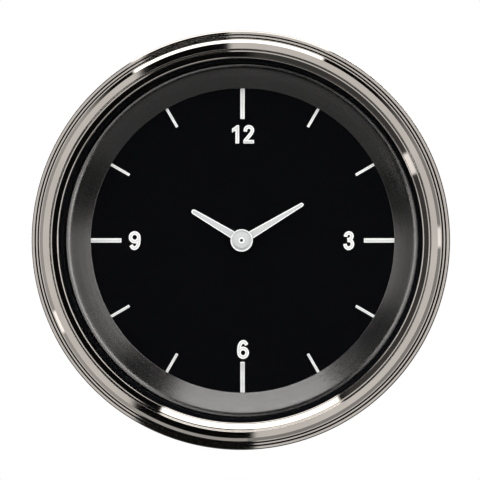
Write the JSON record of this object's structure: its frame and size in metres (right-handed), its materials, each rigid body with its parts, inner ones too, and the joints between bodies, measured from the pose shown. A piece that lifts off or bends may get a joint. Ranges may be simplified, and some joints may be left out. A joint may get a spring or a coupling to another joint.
{
  "type": "panel clock",
  "caption": "Round panel clock with stepped dark bezel, black dial, white hour ticks and numerals, two hands, steel case, rear setting knob, lamps, terminals and clamp bracket.",
  "frame": {"origin": "on the clock's axis, in the plane where the bezel's gasket meets the panel's front face", "axes": "-Y the way the dial faces, +Y to the rear along the axis, +Z towards twelve o'clock, +X to the right seen from the front"},
  "size_m": [0.095, 0.0828, 0.095],
  "materials": {
    "dark_nickel": "polished dark nickel plate",
    "satin_nickel": "satin, turned grain",
    "plated_steel": "zinc plated",
    "brass": "machined",
    "copper": "enamelled copper wire",
    "hand_paint": "satin silver-white",
    "dial_paint": "fine grained black",
    "black_plastic": "moulded",
    "white_plastic": "moulded",
    "black_rubber": "matt",
    "clear_glass": "clear",
    "board_laminate": "solder mask",
    "magnet": "sintered"
  },
  "bodies": {
    "root": {"bezel": "dark_nickel", "panel_gasket": "black_rubber", "lens": "clear_glass", "lens_seal": "black_rubber", "glass_spacer": "black_plastic", "trim_ring": "satin_nickel", "dial": "dial_paint", "case": "plated_steel", "light_housing": "white_plastic", "front_plate": "brass", "back_plate": "brass", "pillar_1": "brass", "pillar_2": "brass", "pillar_3": "brass", "pillar_4": "brass", "plate_screw_1": "plated_steel", "plate_screw_2": "plated_steel", "plate_screw_3": "plated_steel", "plate_screw_4": "plated_steel", "motion_stud": "plated_steel", "stator": "plated_steel", "coil_core": "plated_steel", "coil_bobbin": "black_plastic", "coil_winding": "copper", "circuit_board": "board_laminate", "quartz_crystal": "plated_steel", "driver_chip": "black_plastic", "capacitor": "black_plastic", "stem_grommet": "black_rubber", "terminal_block": "black_plastic", "terminal_1": "brass", "terminal_2": "brass", "terminal_3": "brass", "stud_left": "plated_steel", "stud_right": "plated_steel"},
    "minute": {"minute_hand": "hand_paint", "hand_collet": "hand_paint", "center_arbor": "plated_steel", "center_wheel": "brass"},
    "hour": {"hour_hand": "hand_paint", "hour_wheel": "white_plastic"},
    "motion": {"motion_wheel": "white_plastic"},
    "third": {"third_pinion": "plated_steel", "third_wheel": "brass"},
    "rotor": {"rotor_pinion": "plated_steel", "rotor_magnet": "magnet"},
    "setting": {"set_knob": "black_plastic", "set_stem": "plated_steel", "setting_gear": "white_plastic"},
    "lamp_left": {"lamp_holder_left": "black_plastic", "lamp_bulb_left": "clear_glass"},
    "lamp_right": {"lamp_holder_right": "black_plastic", "lamp_bulb_right": "clear_glass"},
    "clamp": {"clamp_bracket": "plated_steel", "lock_washer_left": "plated_steel", "lock_washer_right": "plated_steel"},
    "nut_left": {"thumb_nut_left": "brass"},
    "nut_right": {"thumb_nut_right": "brass"}
  },
  "joints": [
    {"name": "minute_spin", "type": "hinge", "parent": "root", "child": "minute", "pos_m": [0, 0, 0], "axis": [0, 1, 0], "continuous": true},
    {"name": "hour_spin", "type": "hinge", "parent": "root", "child": "hour", "pos_m": [0, 0, 0], "axis": [0, 1, 0], "continuous": true},
    {"name": "motion_spin", "type": "hinge", "parent": "root", "child": "motion", "pos_m": [0, 0, -0.006], "axis": [0, 1, 0], "continuous": true},
    {"name": "third_spin", "type": "hinge", "parent": "root", "child": "third", "pos_m": [-0.00764, 0, 0.00764], "axis": [0, 1, 0], "continuous": true},
    {"name": "rotor_spin", "type": "hinge", "parent": "root", "child": "rotor", "pos_m": [-0.00163, 0, 0.01365], "axis": [0, 1, 0], "continuous": true},
    {"name": "set_knob_spin", "type": "hinge", "parent": "root", "child": "setting", "pos_m": [0, 0, -0.0135], "axis": [0, 1, 0], "continuous": true},
    {"name": "lamp_left_twist", "type": "hinge", "parent": "root", "child": "lamp_left", "pos_m": [-0.024, 0, 0.02], "axis": [0, 1, 0], "range_deg": [0, 45]},
    {"name": "lamp_right_twist", "type": "hinge", "parent": "root", "child": "lamp_right", "pos_m": [0.024, 0, 0.02], "axis": [0, 1, 0], "range_deg": [0, 45]},
    {"name": "clamp_slide", "type": "slide", "parent": "root", "child": "clamp", "axis": [0, 1, 0], "range_m": [-0.002, 0.012]},
    {"name": "nut_left_spin", "type": "hinge", "parent": "clamp", "child": "nut_left", "pos_m": [-0.028, 0.055, 0], "axis": [0, 1, 0], "range_deg": [-1030, 6173]},
    {"name": "nut_right_spin", "type": "hinge", "parent": "clamp", "child": "nut_right", "pos_m": [0.028, 0.055, 0], "axis": [0, 1, 0], "range_deg": [-1030, 6173]}
  ],
  "couplings": [
    {"joint": "hour_spin", "follows": "minute_spin", "ratio": 0.083333},
    {"joint": "motion_spin", "follows": "minute_spin", "ratio": -0.33333},
    {"joint": "third_spin", "follows": "minute_spin", "ratio": -8},
    {"joint": "rotor_spin", "follows": "minute_spin", "ratio": 60},
    {"joint": "set_knob_spin", "follows": "minute_spin", "ratio": 0.5},
    {"joint": "nut_left_spin", "follows": "clamp_slide", "rad_per_m": 8976},
    {"joint": "nut_right_spin", "follows": "clamp_slide", "rad_per_m": 8976}
  ]
}
